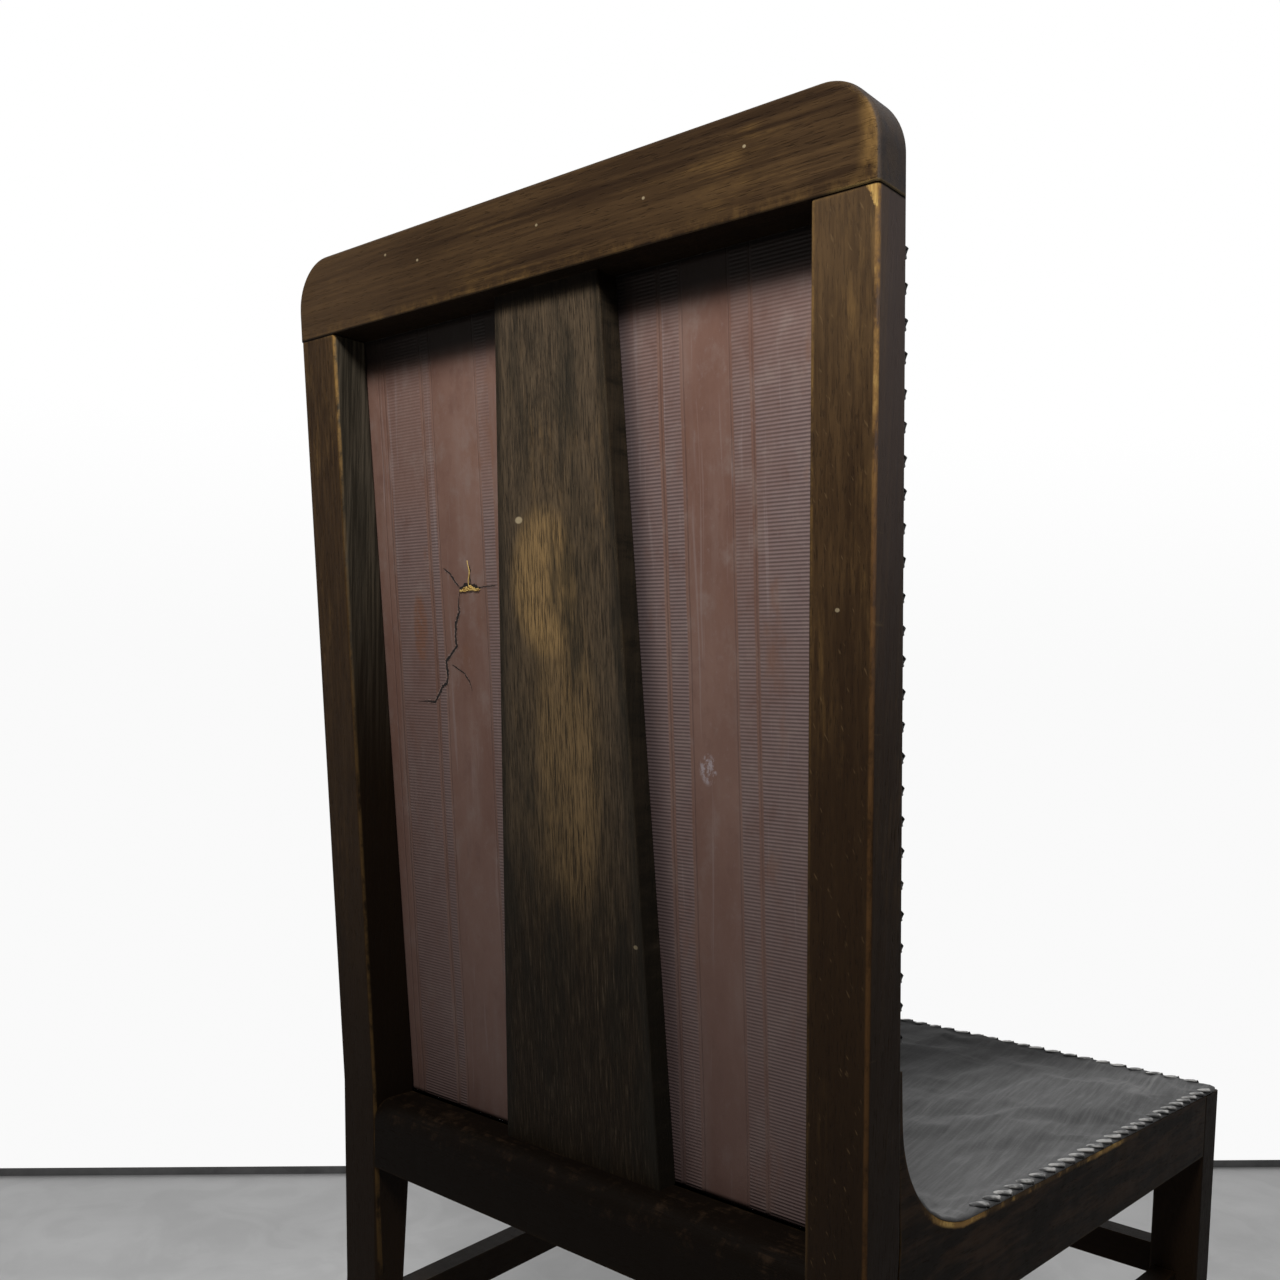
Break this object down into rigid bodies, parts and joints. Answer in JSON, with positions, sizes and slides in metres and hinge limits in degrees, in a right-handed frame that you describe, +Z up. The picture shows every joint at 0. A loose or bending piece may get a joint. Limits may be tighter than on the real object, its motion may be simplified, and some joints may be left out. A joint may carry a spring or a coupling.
{
  "type": "side chair",
  "caption": "High-backed wooden side chair with a laced leather seat that sweeps up into the back, a tapered splat and ribbed lining panels behind.",
  "frame": {"origin": "on the floor, under the middle of the chair's overall box", "axes": "+Z up, front towards -Y, the sitter's left towards +X"},
  "size_m": [0.4838, 0.5429, 1.025],
  "materials": {
    "dark_wood": "dark stained, worn satin",
    "plain_wood": "unfinished",
    "steel": "dull",
    "webbing": "woven",
    "hessian": "coarse woven",
    "wadding": "loose fibre",
    "lining": "ribbed stripes, worn",
    "black_leather": "worn satin",
    "thong": "worn satin"
  },
  "bodies": {
    "root": {"back_lining": "lining", "back_splat": "dark_wood", "back_wadding": "wadding", "corner_block_front_left": "plain_wood", "corner_block_front_right": "plain_wood", "corner_block_rear_left": "plain_wood", "corner_block_rear_right": "plain_wood", "corner_block_screws": "steel", "crest_dowels": "plain_wood", "crest_rail": "dark_wood", "front_leg_left": "dark_wood", "front_leg_right": "dark_wood", "front_seat_rail": "dark_wood", "front_stretcher": "dark_wood", "lacing_back_left": "thong", "lacing_back_right": "thong", "lacing_front": "thong", "lacing_seat_left": "thong", "lacing_seat_right": "thong", "leather_cover": "black_leather", "rear_post_left": "dark_wood", "rear_post_right": "dark_wood", "rear_seat_rail": "dark_wood", "seat_hessian": "hessian", "seat_wadding": "wadding", "side_rail_left": "dark_wood", "side_rail_right": "dark_wood", "side_stretcher_left": "dark_wood", "side_stretcher_right": "dark_wood", "webbing_crosswise": "webbing", "webbing_lengthwise": "webbing", "webbing_tacks": "steel"}
  },
  "joints": []
}
